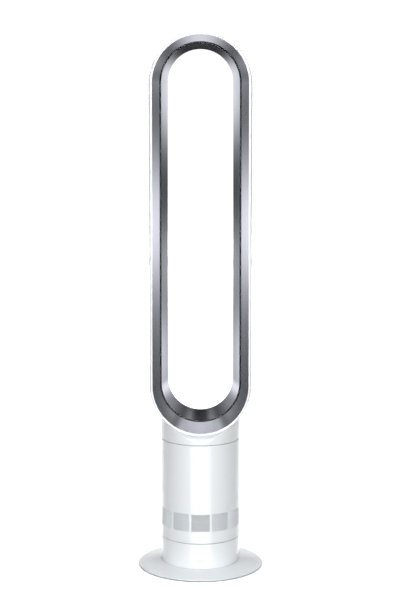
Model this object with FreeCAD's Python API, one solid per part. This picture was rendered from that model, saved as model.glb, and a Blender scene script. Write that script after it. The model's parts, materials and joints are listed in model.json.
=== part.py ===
import FreeCAD, Part
import math
import os

# Bladeless tower fan. Millimetres, +Z up, front of the fan towards -Y.
# The origin is on the floor, on the upright axis of the cylindrical body.

# ---- driving dimensions ------------------------------------------------------
fan_height = 1007.0
loop_width = 190.0
loop_depth = 110.0
loop_foot_z = 255.0          # lowest point of the loop's outer shell
body_radius = 74.0
body_wall = 2.5
base_radius = 117.0
base_rise = 10.5             # height of the disc where the collar stands on it
swivel_seam_z = 58.0         # seam between the still base and the turning body
loop_seam_z = 243.6          # seam between the body and the loop's neck
seam_gap = 0.8

# ---- clearances --------------------------------------------------------------
seat_gap = 0.1               # between pieces that sit still against each other
shaft_gap = 0.05             # radial, between a turning shaft and its bore
turn_gap = 0.3               # between flat or curved faces that pass each other
trim_gap = 0.3               # visible line between two skins

# ---- floor disc --------------------------------------------------------------
foot_height = 1.0            # how far the feet stand below the disc
foot_radius = 6.0
foot_count = 6
foot_inset = 12.0
foot_recess = 1.2
rim_height = 3.2
rim_round = 1.2
ballast_margin = 29.0        # from the ballast's edge out to the disc's rim
ballast_thickness = 5.0
ballast_recess = 0.4

# ---- collar, deck and swivel -------------------------------------------------
collar_shadow_step = 0.5
ledge_width = 3.5
ledge_height = 3.0
deck_z = 46.0
deck_thickness = 2.5
slide_ring_inset = 9.5
slide_ring_width = 12.0
slide_ring_thickness = 2.0
post_outer = 14.0
post_wall = 3.0
post_flange_width = 10.0
post_flange_thickness = 3.0
hub_wall = 4.0
turntable_thickness = 3.2
turntable_rim_gap = 1.0
turntable_rim_wall = 3.0
turntable_rim_top_z = 66.0
clip_thickness = 1.3
clip_width = 3.5
stop_radius = 2.5
stop_circle = 34.0
swing_half_angle = 35.0
boss_radius = 5.0
boss_inset = 4.5
boss_top_z = 30.0
screw_radius = 2.0
screw_head_radius = 4.0
screw_head_height = 2.0
screw_count = 4

# ---- oscillation drive -------------------------------------------------------
gear_module = 1.0
gear_teeth = 80
pinion_teeth = 12
gear_z = 34.0
gear_thickness = 5.0
pinion_overhang = 0.5
tooth_backlash = 0.16
drive_motor_radius = 14.0
drive_motor_top_z = 30.0
drive_shaft_radius = 2.5

# ---- power button, board and cord gland --------------------------------------
button_z = 25.5
button_radius = 5.4
button_side_gap = 0.25
button_flange_radius = 7.2
button_flange_thickness = 1.5
button_travel = 0.8
button_stem_radius = 1.5
button_stem_length = 4.9
switch_size = 6.0
switch_depth = 3.4
plunger_length = 0.4
board_thickness = 1.6
board_half_width = 28.0
board_top_z = 42.0
gland_z = 22.0
gland_radius = 6.0
gland_bore = 3.1
gland_flange_radius = 8.0
gland_flange_depth = 4.0
gland_reach = 8.0            # from the body's surface in to the gland's inner end
gland_proud = 2.0

# ---- air inlet ---------------------------------------------------------------
inlet_low_z = 81.0
inlet_high_z = 114.0
window_count = 12
rib_angle = 2.4
screen_recess = 0.3
screen_gap = 0.15
screen_flange_wall = 1.4
screen_flange_lap = 1.2
slot_rows = 8
slot_columns = 4
slot_bar = 1.4
slot_web_angle = 0.7

# ---- fan unit ----------------------------------------------------------------
shelf_top_z = 148.0
shelf_height = 4.0
shelf_width = 5.5
isolator_height = 4.0
impeller_low_z = 124.0
impeller_high_z = 156.0
impeller_nose_z = 119.0
impeller_back = 2.0
hub_low_radius = 12.0
hub_high_radius = 40.0
tip_low_radius = 38.0
tip_high_radius = 54.0
tip_gap = 0.8
blade_count = 9
blade_thickness = 1.6
blade_curve_radius = 45.0
blade_offset = 8.0
duct_wall = 2.2
duct_flange_thickness = 2.5
duct_top_z = 190.0
mouth_radius = 50.0
mouth_drop = 11.0
bucket_radius = 34.0
bucket_wall = 2.0
bucket_floor_z = 160.0
bucket_split_z = 190.0
bucket_dome_height = 26.0
cable_hole_radius = 4.0
vane_low_z = 164.0
vane_high_z = 186.0
vane_count = 11
vane_thickness = 1.6
vane_tilt = 22.0
vane_ring_wall = 1.9
fan_shaft_radius = 3.0
fan_shaft_low_z = 121.0
fan_shaft_high_z = 196.0
bearing_radius = 8.0
bearing_width = 5.0
bearing_seat_wall = 2.4
lower_bearing_z = 163.5
upper_bearing_z = 189.8
frame_radius = 26.0
frame_wall = 1.9
frame_floor = 1.4
frame_top_z = 188.0
stator_inner = 14.6
stator_yoke = 3.0
stator_tooth_width = 4.0
stator_teeth = 9
stator_low_z = 170.5
stator_high_z = 186.5
rotor_radius = 14.0
cap_thickness = 2.4
post_height = 7.0
cap_post_radius = 2.5
cap_post_circle = 22.0
cap_post_count = 3
driver_board_radius = 28.0
foam_wall = 11.0
upper_foam_low_z = 192.0
upper_foam_high_z = 231.0
lower_foam_inner = 24.0
lower_foam_inset = 7.5
lower_foam_height = 15.0

# ---- joint between body and loop ---------------------------------------------
collar_ledge_z = 236.0
air_collar_flange = 3.0
spigot_inset = 9.5
spigot_wall = 2.0
spigot_top_z = 251.0
neck_flange_height = 2.5
seal_width = 3.8

# ---- loop section, as (distance from the loop's spine line, depth) -----------
shell_wall = 2.2
nose_width = 3.5             # from the widest part in to the front nose
nose_depth = 19.0
back_width = 22.0            # from the widest part in to the rearmost line
back_depth = 36.0
throat_half_width = 61.6
throat_y = 36.0
band_thickness = 1.6
lip_thickness = 1.1
end_lengths = 4              # pieces that make up each round end of the casing and inner band
slot_y = -13.0               # depth of the air slot between the two bands
slot_half_width = 75.2
slot_height = 1.3
lip_setback = 1.5            # the rear lip's edge stands this far behind slot_y
curl_depth = 7.0
curl_step = 0.2
curl_swell = 0.9
curl_width = 3.4
curl_tip = 1.2
spacer_length = 4.0
spacer_rows = 5
mouth_half_length = 46.0
mouth_half_depth = 30.0
neck_front_y = 54.0          # where the neck's shoulder meets the loop in front
neck_back_y = 46.0
neck_wall = 2.5
shoulder_rise = 1.5          # straight part of the neck before its shoulder, in front

# ---- worked out from the above -----------------------------------------------
loop_half = loop_width / 2
front_y = -loop_depth / 2
back_y = loop_depth / 2
lower_centre_z = loop_foot_z + loop_half
upper_centre_z = fan_height - loop_half
body_inner = body_radius - body_wall
disc_bottom_z = foot_height
ballast_radius = base_radius - ballast_margin
foot_circle = base_radius - foot_inset
boss_circle = body_inner - boss_inset
slide_ring_outer = body_inner - slide_ring_inset
post_inner = post_outer - post_wall
post_flange = post_outer + post_flange_width
hub_outer = post_outer + shaft_gap + hub_wall
clip_outer = post_outer + clip_width
gland_inner_y = body_radius - gland_reach
lower_foam_outer = body_inner - lower_foam_inset
spigot_outer = body_inner - spigot_inset
ballast_bottom_z = disc_bottom_z + ballast_recess
ballast_top_z = ballast_bottom_z + ballast_thickness
collar_top_z = swivel_seam_z - seam_gap / 2
body_bottom_z = swivel_seam_z + seam_gap / 2
body_top_z = loop_seam_z - seam_gap / 2
neck_bottom_z = loop_seam_z + seam_gap / 2
deck_top_z = deck_z + deck_thickness
turntable_z = deck_top_z + slide_ring_thickness + turn_gap
turntable_top_z = turntable_z + turntable_thickness
turntable_radius = body_inner - turntable_rim_gap
drive_axis_x = gear_module * (gear_teeth + pinion_teeth) / 2
window_half_angle = (360.0 / window_count - rib_angle) / 2
shoulder_reach = lower_centre_z - neck_bottom_z - shoulder_rise
isolator_top_z = shelf_top_z + isolator_height
duct_straight_inner = tip_high_radius + tip_gap
cap_top_z = frame_top_z + cap_thickness

UP = FreeCAD.Vector(0, 0, 1)
DEPTH = FreeCAD.Vector(0, 1, 0)
CENTRE = FreeCAD.Vector(0, 0, 0)


# ---- helpers -----------------------------------------------------------------
def rod(radius, low, high, x=0.0, y=0.0):
    """An upright cylinder."""
    return Part.makeCylinder(radius, high - low, FreeCAD.Vector(x, y, low), UP)


def tube(outer, inner, low, high):
    """An upright tube on the fan's axis."""
    return rod(outer, low, high).cut(rod(inner, low - 1, high + 1))


def rod_along_depth(radius, start, end, x, z):
    """A cylinder that runs from front to back."""
    return Part.makeCylinder(radius, end - start, FreeCAD.Vector(x, start, z), DEPTH)


def block(low, high):
    """A box between two corners."""
    return Part.makeBox(high[0] - low[0], high[1] - low[1], high[2] - low[2], FreeCAD.Vector(*low))


def turned(points):
    """A solid turned about the fan's axis from (radius, height) points."""
    corners = [FreeCAD.Vector(radius, 0, height) for radius, height in points]
    face = Part.Face(Part.makePolygon(corners + corners[:1]))
    return face.revolve(CENTRE, UP, 360)


def spun(shape, degrees):
    """A copy turned about the fan's axis."""
    copy = shape.copy()
    copy.rotate(CENTRE, UP, degrees)
    return copy


def in_a_ring(shape, count, first=0.0):
    """Copies of a shape, evenly spaced about the fan's axis."""
    return [spun(shape, first + 360.0 * i / count) for i in range(count)]


def sector(outer, inner, low, high, half_angle, middle=-90.0):
    """Part of a tube, half_angle to each side of the middle direction."""
    corners = [(inner, low), (outer, low), (outer, high), (inner, high)]
    points = [FreeCAD.Vector(radius, 0, height) for radius, height in corners]
    face = Part.Face(Part.makePolygon(points + points[:1]))
    face.rotate(CENTRE, UP, middle - half_angle)
    return face.revolve(CENTRE, UP, 2 * half_angle)


def save(name, shape):
    """Writes one sub-part."""
    shape.exportStep("parts/" + name + ".step")
    print(name, len(shape.Solids), "solids", round(shape.Volume / 1000, 2), "cm3", shape.isValid())


# ---- floor disc and collar ---------------------------------------------------
def screw_spots():
    """Places of the upright screws that hold the disc to the collar."""
    angles = [math.radians(45 + 360.0 * i / screw_count) for i in range(screw_count)]
    return [(boss_circle * math.cos(a), boss_circle * math.sin(a)) for a in angles]


def foot_spots():
    angles = [math.radians(360.0 * i / foot_count) for i in range(foot_count)]
    return [(foot_circle * math.cos(a), foot_circle * math.sin(a)) for a in angles]


def make_base_disc():
    """A thin round disc that rises gently from its rim to the collar."""
    recess_top_z = ballast_top_z + seat_gap
    recess_radius = ballast_radius + turn_gap
    disc = turned([(0, recess_top_z), (recess_radius, recess_top_z), (recess_radius, disc_bottom_z),
                   (base_radius - rim_round, disc_bottom_z), (base_radius, disc_bottom_z + rim_round),
                   (base_radius, rim_height - rim_round / 2), (base_radius - rim_round, rim_height + 0.5),
                   (body_radius + rim_round, base_rise), (0, base_rise)])
    for x, y in foot_spots():
        disc = disc.cut(rod(foot_radius + seat_gap, 0, disc_bottom_z + foot_recess, x, y))
    for x, y in screw_spots():
        disc = disc.cut(rod(screw_radius + seat_gap, 0, base_rise + 1, x, y))
    return disc


def make_ballast_plate():
    plate = rod(ballast_radius, ballast_bottom_z, ballast_top_z)
    for x, y in screw_spots():
        plate = plate.cut(rod(screw_radius + seat_gap, 0, base_rise, x, y))
        head_top = ballast_bottom_z + screw_head_height
        plate = plate.cut(rod(screw_head_radius + turn_gap, 0, head_top, x, y))
    return plate


def make_rubber_feet():
    top_z = disc_bottom_z + foot_recess
    return Part.makeCompound([rod(foot_radius, 0, top_z, x, y) for x, y in foot_spots()])


def make_base_screws():
    screws = []
    for x, y in screw_spots():
        head = rod(screw_head_radius, ballast_bottom_z, ballast_bottom_z + screw_head_height, x, y)
        shank = rod(screw_radius, ballast_bottom_z, boss_top_z - boss_radius, x, y)
        screws.append(head.fuse(shank).removeSplitter())
    return Part.makeCompound(screws)


def make_base_collar():
    """The still cylinder under the swivel seam, with a ledge for the deck."""
    wall = tube(body_radius, body_inner, base_rise + collar_shadow_step, collar_top_z)
    lip = tube(body_radius - body_wall / 2, body_inner, base_rise, base_rise + 1)
    ledge = tube(body_inner + 1, body_inner - ledge_width, deck_z - ledge_height, deck_z)
    collar = wall.fuse([lip, ledge])
    inside = rod(body_radius - 1, base_rise, boss_top_z)
    for x, y in screw_spots():
        collar = collar.fuse(rod(boss_radius, base_rise, boss_top_z, x, y).common(inside))
    for x, y in screw_spots():
        collar = collar.cut(rod(screw_radius + shaft_gap, 0, boss_top_z - boss_radius + 1, x, y))
    hole_radius = button_radius + button_side_gap
    button_hole = rod_along_depth(hole_radius, -body_radius - 1, -body_inner + 9, 0, button_z)
    gland_hole = rod_along_depth(gland_radius + seat_gap, body_inner - 9, body_radius + 1, 0, gland_z)
    return collar.cut([button_hole, gland_hole]).removeSplitter()


def make_cord_gland():
    """A rubber bush in the back of the collar that the supply cord passes."""
    bush = rod_along_depth(gland_radius, gland_inner_y, body_radius + gland_proud, 0, gland_z)
    flange_end_y = gland_inner_y + gland_flange_depth
    flange = rod_along_depth(gland_flange_radius, gland_inner_y, flange_end_y, 0, gland_z)
    bore = rod_along_depth(gland_bore, gland_inner_y - 1, body_radius + gland_proud + 1, 0, gland_z)
    return bush.fuse(flange).cut(bore).removeSplitter()


# ---- power button ------------------------------------------------------------
def button_back_y():
    """Front face of the button's flange, clear of the collar's round wall."""
    return -math.sqrt(body_inner ** 2 - button_flange_radius ** 2) + turn_gap


def make_power_button():
    flange_y = button_back_y()
    cap = rod_along_depth(button_radius, -body_radius - 1, flange_y + 1, 0, button_z)
    cap = cap.common(rod(body_radius - shaft_gap, 0, collar_top_z))
    flange = rod_along_depth(button_flange_radius, flange_y, flange_y + button_flange_thickness, 0, button_z)
    stem_y = flange_y + button_flange_thickness
    stem = rod_along_depth(button_stem_radius, stem_y - 1, stem_y + button_stem_length, 0, button_z)
    return cap.fuse([flange, stem]).removeSplitter()


def plunger_y():
    """Tip of the switch's plunger, just past the stem when it is pressed in."""
    stem_end = button_back_y() + button_flange_thickness + button_stem_length
    return stem_end + button_travel + turn_gap


def make_button_switch():
    body_y = plunger_y() + plunger_length
    half = switch_size / 2
    body = block((-half, body_y, button_z - half), (half, body_y + switch_depth, button_z + half))
    plunger = rod_along_depth(button_stem_radius, plunger_y(), body_y + 1, 0, button_z)
    return body.fuse(plunger)


def make_control_board():
    board_y = plunger_y() + plunger_length + switch_depth
    low_z = base_rise + seat_gap
    behind_y = board_y + board_thickness
    board = block((-board_half_width, board_y, low_z), (board_half_width, behind_y, board_top_z))
    parts = [block((-20, behind_y, 14), (-8, behind_y + 5, 22)),
             block((4, behind_y, 15), (16, behind_y + 3, 27)),
             rod_along_depth(4, behind_y, behind_y + 7, 21, 20)]
    return board.fuse(parts)


# ---- swivel ------------------------------------------------------------------
def make_bearing_deck():
    """The plate across the collar that carries the turning body."""
    deck = tube(body_inner - seat_gap, hub_outer + turn_gap, deck_z, deck_top_z)
    reach = swing_half_angle + math.degrees((stop_radius + turn_gap) / stop_circle)
    half_width = stop_radius + turn_gap
    slot = sector(stop_circle + half_width, stop_circle - half_width, deck_z - 1, deck_top_z + 1, reach, 90)
    return deck.cut(slot)


def make_slide_ring():
    inner = slide_ring_outer - slide_ring_width
    return tube(slide_ring_outer, inner, deck_top_z, deck_top_z + slide_ring_thickness)


def make_pivot_post():
    """The hollow post on the disc that the turntable's hub turns on."""
    top_z = turntable_top_z + turn_gap + 2 * clip_thickness
    flange = rod(post_flange, base_rise, base_rise + post_flange_thickness)
    post = flange.fuse(rod(post_outer, base_rise, top_z)).removeSplitter()
    return post.cut(rod(post_inner, base_rise - 1, top_z + 1))


def make_retaining_clip():
    low = turntable_top_z + turn_gap
    return tube(clip_outer, post_outer + seat_gap, low, low + clip_thickness)


def make_turntable():
    """Hub, plate, rim that grips the body, and the pin that stops the swing."""
    plate = rod(turntable_radius, turntable_z, turntable_top_z)
    hub = rod(hub_outer, gear_z, turntable_top_z)
    rim = tube(turntable_radius, turntable_radius - turntable_rim_wall, turntable_z, turntable_rim_top_z)
    grip_z = body_bottom_z + seam_gap
    grip = tube(body_inner - seat_gap, turntable_radius - 1, grip_z, turntable_rim_top_z)
    stop = rod(stop_radius, deck_z - 1.5, turntable_top_z, 0, stop_circle)
    table = plate.fuse([hub, rim, grip, stop]).removeSplitter()
    return table.cut(rod(post_outer + shaft_gap, gear_z - 1, turntable_top_z + 1))


def gear_blank(teeth, low, high, bore, first_angle):
    """A spur gear with involute flanks at a 20 degree pressure angle."""
    pitch_radius = gear_module * teeth / 2
    pressure = math.radians(20)
    base_circle = pitch_radius * math.cos(pressure)
    tip = pitch_radius + 0.85 * gear_module
    root = pitch_radius - 1.15 * gear_module
    half_tooth = math.pi / (2 * teeth) - tooth_backlash / (2 * pitch_radius)
    half_at_base = half_tooth + math.tan(pressure) - pressure
    start = max(base_circle, root)
    flank = []
    steps = 4
    for i in range(steps + 1):
        radius = start + (tip - start) * i / steps
        angle = math.acos(min(1.0, base_circle / radius))
        flank.append((radius, half_at_base - (math.tan(angle) - angle)))
    if start > root:
        flank.insert(0, (root, half_at_base))
    corners = []
    for i in range(teeth):
        middle = math.radians(first_angle) + 2 * math.pi * i / teeth
        side = [(radius, middle - half) for radius, half in flank]
        side += [(radius, middle + half) for radius, half in reversed(flank)]
        corners += [FreeCAD.Vector(r * math.cos(a), r * math.sin(a), low) for r, a in side]
    face = Part.Face(Part.makePolygon(corners + corners[:1]))
    return face.extrude(FreeCAD.Vector(0, 0, high - low)).cut(rod(bore, low - 1, high + 1))


def make_oscillation_gear():
    return gear_blank(gear_teeth, gear_z, gear_z + gear_thickness, hub_outer + seat_gap, 0.0)


def make_drive_pinion():
    """Its teeth straddle the gear's tooth on the line between the two axes."""
    first = 180.0 + 180.0 / pinion_teeth
    low = gear_z - pinion_overhang
    high = gear_z + gear_thickness + pinion_overhang
    pinion = gear_blank(pinion_teeth, low, high, drive_shaft_radius + seat_gap, first)
    pinion.translate(FreeCAD.Vector(drive_axis_x, 0, 0))
    return pinion


def make_pinion_shaft():
    top_z = gear_z + gear_thickness + 2 * pinion_overhang
    return rod(drive_shaft_radius, base_rise + 4, top_z, drive_axis_x)


def make_oscillation_motor():
    motor = rod(drive_motor_radius, base_rise + seat_gap, drive_motor_top_z, drive_axis_x)
    return motor.cut(rod(drive_shaft_radius + shaft_gap, base_rise + 3, drive_motor_top_z + 1, drive_axis_x))


# ---- main body and inlet -----------------------------------------------------
def make_main_shell():
    """The turning cylinder, with its band of inlet windows between ribs."""
    wall = tube(body_radius, body_inner, body_bottom_z, body_top_z)
    shelf = tube(body_inner + 1, body_inner - shelf_width, shelf_top_z - shelf_height, shelf_top_z)
    ledge = tube(body_inner + 1, body_inner - ledge_width, collar_ledge_z - shelf_height, collar_ledge_z)
    window = sector(body_radius + 1, body_inner - 1, inlet_low_z, inlet_high_z, window_half_angle)
    return wall.fuse([shelf, ledge]).cut(in_a_ring(window, window_count)).removeSplitter()


def make_inlet_screens():
    """One slotted screen for each window, with a flange behind the wall."""
    edge_angle = math.degrees(screen_gap / body_radius)
    low = inlet_low_z + screen_gap
    high = inlet_high_z - screen_gap
    outer = body_radius - screen_recess
    flange_outer = body_inner - seat_gap
    pad = sector(outer, flange_outer - screen_flange_wall, low, high, window_half_angle - edge_angle)
    flange_half_angle = 180.0 / window_count - edge_angle
    flange = sector(flange_outer, flange_outer - screen_flange_wall, low - screen_flange_lap,
                    high + screen_flange_lap, flange_half_angle)
    screen = pad.fuse(flange)
    slot_half_angle = (window_half_angle - slot_web_angle) / slot_columns - slot_web_angle / 2
    column_pitch = 2 * (window_half_angle - slot_web_angle) / slot_columns
    row_pitch = (high - low - slot_bar) / slot_rows
    slots = []
    for row in range(slot_rows):
        slot_low = low + slot_bar + row * row_pitch
        for column in range(slot_columns):
            middle = -90 + (column - (slot_columns - 1) / 2) * column_pitch
            slots.append(sector(outer + 1, flange_outer - screen_flange_wall - 1, slot_low,
                                slot_low + row_pitch - slot_bar, slot_half_angle, middle))
    screen = screen.cut(slots).removeSplitter()
    return Part.makeCompound(in_a_ring(screen, window_count))


# ---- fan unit ----------------------------------------------------------------
def make_isolator_ring():
    return tube(body_inner - seat_gap, body_inner - shelf_width, shelf_top_z, isolator_top_z)


def make_impeller_housing():
    """Bell mouth, cone around the blades and straight duct, on one flange."""
    mouth_z = impeller_low_z - mouth_drop
    throat = tip_low_radius + tip_gap
    straight = duct_straight_inner
    slope = (tip_high_radius - tip_low_radius) / (impeller_high_z - impeller_low_z)
    cone_at_flange = throat + slope * (isolator_top_z - impeller_low_z) + duct_wall
    flange_top_z = isolator_top_z + duct_flange_thickness
    return turned([(mouth_radius, mouth_z), (throat + duct_wall, impeller_low_z - 4),
                   (throat, impeller_low_z), (straight, impeller_high_z), (straight, duct_top_z),
                   (straight + duct_wall, duct_top_z),
                   (straight + duct_wall, flange_top_z), (body_inner - 2 * seat_gap, flange_top_z),
                   (body_inner - 2 * seat_gap, isolator_top_z), (cone_at_flange, isolator_top_z),
                   (throat + duct_wall, impeller_low_z), (throat + 2 * duct_wall, impeller_low_z - 3),
                   (mouth_radius + duct_wall / 2, mouth_z)])


def make_impeller():
    """A mixed-flow wheel: a cone with curved blades that lean back."""
    bore = fan_shaft_radius + shaft_gap / 2
    top_z = impeller_high_z + impeller_back
    hub = turned([(bore, impeller_nose_z), (hub_low_radius - 4, impeller_nose_z),
                  (hub_low_radius, impeller_low_z), (hub_high_radius, impeller_high_z),
                  (hub_high_radius, top_z), (bore, top_z)])
    span = turned([(hub_low_radius - 1, impeller_low_z), (tip_low_radius, impeller_low_z),
                   (tip_high_radius, impeller_high_z), (hub_high_radius - 1, impeller_high_z + 1)])
    centre_y = blade_curve_radius + blade_offset
    outer = rod(blade_curve_radius + blade_thickness / 2, impeller_low_z - 1, top_z, 0, centre_y)
    inner = rod(blade_curve_radius - blade_thickness / 2, impeller_low_z - 2, top_z + 1, 0, centre_y)
    side = block((hub_low_radius / 4, -tip_high_radius, impeller_low_z - 1),
                 (tip_high_radius, centre_y, top_z))
    blade = outer.cut(inner).common(side).common(span)
    return hub.fuse(in_a_ring(blade, blade_count)).removeSplitter()


def make_fan_shaft():
    return rod(fan_shaft_radius, fan_shaft_low_z, fan_shaft_high_z)


def make_fan_rotor():
    return tube(rotor_radius, fan_shaft_radius + shaft_gap / 2, stator_low_z, stator_high_z)


def make_fan_stator():
    outer = frame_radius - frame_wall - seat_gap
    yoke = tube(outer, outer - stator_yoke, stator_low_z, stator_high_z)
    half = stator_tooth_width / 2
    tooth = block((0, -half, stator_low_z), (outer - 1, half, stator_high_z))
    tooth = tooth.common(tube(outer - 1, stator_inner, stator_low_z, stator_high_z))
    return yoke.fuse(in_a_ring(tooth, stator_teeth)).removeSplitter()


def make_bearing(low):
    return tube(bearing_radius, fan_shaft_radius + shaft_gap, low, low + bearing_width)


def make_motor_bucket_lower():
    inner = bucket_radius - bucket_wall
    floor_top = bucket_floor_z + bucket_wall
    return turned([(bearing_radius, bucket_floor_z), (bucket_radius, bucket_floor_z),
                   (bucket_radius, bucket_split_z), (inner, bucket_split_z), (inner, floor_top),
                   (bearing_radius, floor_top)])


def make_motor_frame():
    """The motor's cup, with the seat of the lower bearing in its floor."""
    seat = bearing_radius + shaft_gap
    low = bucket_floor_z + bucket_wall
    tower = seat + bearing_seat_wall
    inner = frame_radius - frame_wall
    return turned([(seat, low), (frame_radius, low), (frame_radius, frame_top_z), (inner, frame_top_z),
                   (inner, low + frame_floor), (tower, low + frame_floor),
                   (tower, lower_bearing_z + bearing_width), (seat, lower_bearing_z + bearing_width)])


def make_motor_cap():
    """The motor's lid, with the upper bearing and the posts of its board."""
    seat = bearing_radius + shaft_gap
    outer = bucket_radius - bucket_wall - seat_gap
    tower = seat + bearing_seat_wall
    top = upper_bearing_z + bearing_width
    cap = turned([(seat, frame_top_z), (outer, frame_top_z), (outer, cap_top_z), (tower, cap_top_z),
                  (tower, top), (seat, top)])
    post = rod(cap_post_radius, cap_top_z - 1, cap_top_z + post_height, cap_post_circle)
    return cap.fuse(in_a_ring(post, cap_post_count)).removeSplitter()


def make_driver_board():
    low = cap_top_z + post_height
    return tube(driver_board_radius, fan_shaft_radius * 2, low, low + board_thickness)


def dome(radius, height):
    """Half an ellipsoid on the split line of the motor bucket."""
    ellipse = Part.Ellipse(FreeCAD.Vector(0, 0, bucket_split_z), radius, height)
    ellipse.Axis = FreeCAD.Vector(0, -1, 0)
    ellipse.XAxis = FreeCAD.Vector(1, 0, 0)
    arc = Part.ArcOfEllipse(ellipse, 0, math.pi / 2).toShape()
    middle = FreeCAD.Vector(0, 0, bucket_split_z)
    ends = [vertex.Point for vertex in arc.Vertexes]
    sides = [Part.makeLine(middle, ends[0]), Part.makeLine(middle, ends[1])]
    return Part.Face(Part.Wire(Part.__sortEdges__([arc] + sides))).revolve(CENTRE, UP, 360)


def make_motor_bucket_upper():
    outer = dome(bucket_radius, bucket_dome_height)
    shell = outer.cut(dome(bucket_radius - bucket_wall, bucket_dome_height - bucket_wall))
    return shell.cut(rod(cable_hole_radius, bucket_split_z, bucket_split_z + bucket_dome_height + 1))


def make_diffuser():
    """Two rings with tilted vanes between them, around the motor bucket."""
    inner = bucket_radius + seat_gap
    outer = duct_straight_inner - seat_gap
    inner_ring = tube(inner + vane_ring_wall, inner, vane_low_z, vane_high_z)
    outer_ring = tube(outer, outer - vane_ring_wall, vane_low_z, vane_high_z)
    middle_z = (vane_low_z + vane_high_z) / 2
    half = vane_thickness / 2
    vane = block((0, -half, vane_low_z - 9), (outer, half, vane_high_z + 9))
    vane.rotate(FreeCAD.Vector(0, 0, middle_z), FreeCAD.Vector(1, 0, 0), vane_tilt)
    vane = vane.common(tube(outer - 0.5, inner + 0.5, vane_low_z + 1, vane_high_z - 1))
    return inner_ring.fuse([outer_ring] + in_a_ring(vane, vane_count)).removeSplitter()


def make_upper_foam():
    outer = body_inner - turn_gap
    return tube(outer, outer - foam_wall, upper_foam_low_z, upper_foam_high_z)


def make_lower_foam():
    low = turntable_top_z + seat_gap
    return tube(lower_foam_outer, lower_foam_inner, low, low + lower_foam_height)


# ---- joint between body and loop ---------------------------------------------
def make_air_collar():
    spigot_inner = spigot_outer - spigot_wall
    flange_top_z = collar_ledge_z + air_collar_flange
    flange = tube(body_inner - seat_gap, spigot_inner, collar_ledge_z, flange_top_z)
    return flange.fuse(tube(spigot_outer, spigot_inner, collar_ledge_z, spigot_top_z)).removeSplitter()


def make_collar_seal():
    inner = spigot_outer + seat_gap
    return tube(inner + seal_width, inner, collar_ledge_z + air_collar_flange, neck_bottom_z)


# ---- loop --------------------------------------------------------------------
def spot(across, depth):
    """A point of the loop's section, at the height of the lower end's centre."""
    return FreeCAD.Vector(across, depth, lower_centre_z)


def quarter(centre, half_across, half_depth, to_across, to_depth):
    """A quarter of an ellipse in the loop's section, towards the two signs."""
    ellipse = Part.Ellipse(spot(*centre), max(half_across, half_depth), min(half_across, half_depth))
    quadrant = {(1, 1): 0, (-1, 1): 1, (-1, -1): 2, (1, -1): 3}[(to_across, to_depth)]
    if half_depth > half_across:
        ellipse.XAxis = DEPTH
        quadrant -= 1
    start = quadrant * math.pi / 2
    return Part.ArcOfEllipse(ellipse, start, start + math.pi / 2).toShape()


def section_face(edges):
    return Part.Face(Part.Wire(Part.__sortEdges__(edges)))


def polygon_face(points):
    corners = [spot(*point) for point in points]
    return Part.Face(Part.makePolygon(corners + corners[:1]))


def around_loop(face, lengths=0):
    """Carries a section round the loop. With lengths, each round end stays that many pieces, face to face."""
    straight = FreeCAD.Vector(0, 0, upper_centre_z - lower_centre_z)
    right = face.extrude(straight)
    left = right.mirror(CENTRE, FreeCAD.Vector(1, 0, 0))
    upper_face = face.copy()
    upper_face.translate(straight)
    step = 180 / max(lengths, 1)
    ends = []
    for start, centre, way in ((face, spot(0, 0), DEPTH), (upper_face, spot(0, 0) + straight, -DEPTH)):
        for i in range(max(lengths, 1)):
            first = start.copy()
            first.rotate(centre, way, step * i)
            ends.append(first.revolve(centre, way, step))
    if lengths:
        return Part.makeCompound([right, left] + ends)
    return right.fuse([left] + ends).removeSplitter()


def shell_edges(inset):
    """The shell's skin from front nose to throat, moved in by inset."""
    widest = loop_half - inset
    nose_centre = (loop_half - nose_width, front_y + nose_depth)
    back_centre = (loop_half - back_width, back_y - back_depth)
    roll_centre = (loop_half - back_width, throat_y)
    roll_width = loop_half - back_width - throat_half_width
    edges = [quarter(nose_centre, nose_width - inset, nose_depth - inset, 1, -1)]
    edges.append(Part.makeLine(spot(widest, nose_centre[1]), spot(widest, back_centre[1])))
    edges.append(quarter(back_centre, back_width - inset, back_depth - inset, 1, 1))
    edges.append(quarter(roll_centre, roll_width - inset, back_y - throat_y - inset, -1, 1))
    return edges


def make_loop_shell():
    """The white casing: nose, flank and rounded back, open inside as a duct."""
    nose_across = loop_half - nose_width
    lip = quarter((nose_across, front_y + shell_wall), shell_wall, shell_wall, -1, -1)
    lip_end = Part.makeLine(spot(nose_across - shell_wall, front_y + shell_wall),
                            spot(nose_across, front_y + shell_wall))
    throat_end = Part.makeLine(spot(throat_half_width, throat_y),
                               spot(throat_half_width + shell_wall, throat_y))
    face = section_face(shell_edges(0) + shell_edges(shell_wall) + [lip, lip_end, throat_end])
    mouth = block((-mouth_half_length, -mouth_half_depth, neck_bottom_z),
                  (mouth_half_length, mouth_half_depth, lower_centre_z - throat_half_width - 12))
    return around_loop(face, end_lengths).cut(mouth)


def front_band_across(depth):
    """Half width of the front band's visible face at a depth."""
    front_across = loop_half - nose_width - shell_wall - trim_gap
    front_depth = front_y + shell_wall + trim_gap
    share = (depth - front_depth) / (slot_y - front_depth)
    return front_across + share * (slot_half_width - front_across)


def make_front_band():
    """The silver flare in front of the slot, curled back into the duct."""
    front_depth = front_y + shell_wall + trim_gap
    front_across = front_band_across(front_depth)
    mid_depth = (front_depth + slot_y) / 2
    curl_y = slot_y + curl_depth
    return around_loop(polygon_face([
        (front_across, front_depth), (front_band_across(mid_depth), mid_depth), (slot_half_width, slot_y),
        (slot_half_width + curl_step, slot_y + curl_depth * 0.45),
        (slot_half_width + curl_swell, slot_y + curl_depth * 0.8),
        (slot_half_width + curl_width - curl_tip, curl_y), (slot_half_width + curl_width, curl_y - curl_tip),
        (slot_half_width + curl_width - curl_tip, curl_y - 2 * curl_tip),
        (slot_half_width + band_thickness, slot_y),
        (front_across + band_thickness, front_depth)]))


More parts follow.
